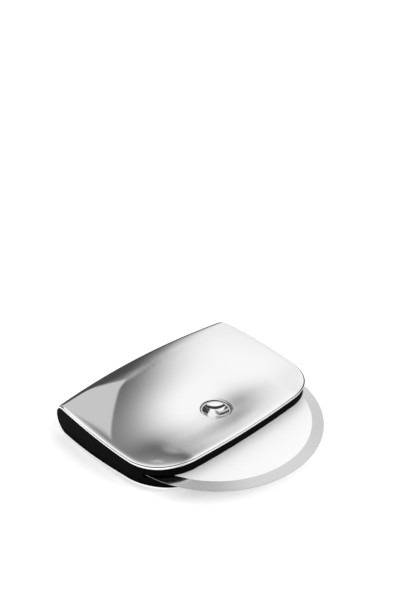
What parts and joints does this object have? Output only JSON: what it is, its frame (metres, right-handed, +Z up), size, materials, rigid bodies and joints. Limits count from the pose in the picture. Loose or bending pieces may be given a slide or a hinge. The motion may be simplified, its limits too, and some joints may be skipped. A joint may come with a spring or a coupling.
{
  "type": "palm-held wheel pizza cutter",
  "caption": "Palm-held pizza cutter: a folded mirror-steel handle with a black liner and a round blade that spins on a dished axle.",
  "frame": {"origin": "the point on the table straight under the axle", "axes": "+Z up along the axle, -Y towards the mouth where the blade shows, +Y towards the fold, +X along the fold"},
  "size_m": [0.1074, 0.1084, 0.0172],
  "materials": {
    "mirror_steel": "mirror-polished stainless steel",
    "blade_steel": "satin stainless steel with a finely ground bevel",
    "black_liner": "matte black moulded plastic",
    "bearing_plastic": "natural white bearing plastic"
  },
  "bodies": {
    "handle": {"handle_shell": "mirror_steel", "upper_liner": "black_liner", "lower_liner": "black_liner", "upper_washer": "bearing_plastic", "lower_washer": "bearing_plastic", "axle_screw": "mirror_steel", "axle_nut": "mirror_steel"},
    "wheel": {"cutting_disc": "blade_steel", "disc_bush": "bearing_plastic"}
  },
  "joints": [
    {"name": "wheel_spin", "type": "hinge", "parent": "handle", "child": "wheel", "pos_m": [0, 0, 0.00861], "axis": [0, 0, 1], "continuous": true}
  ]
}
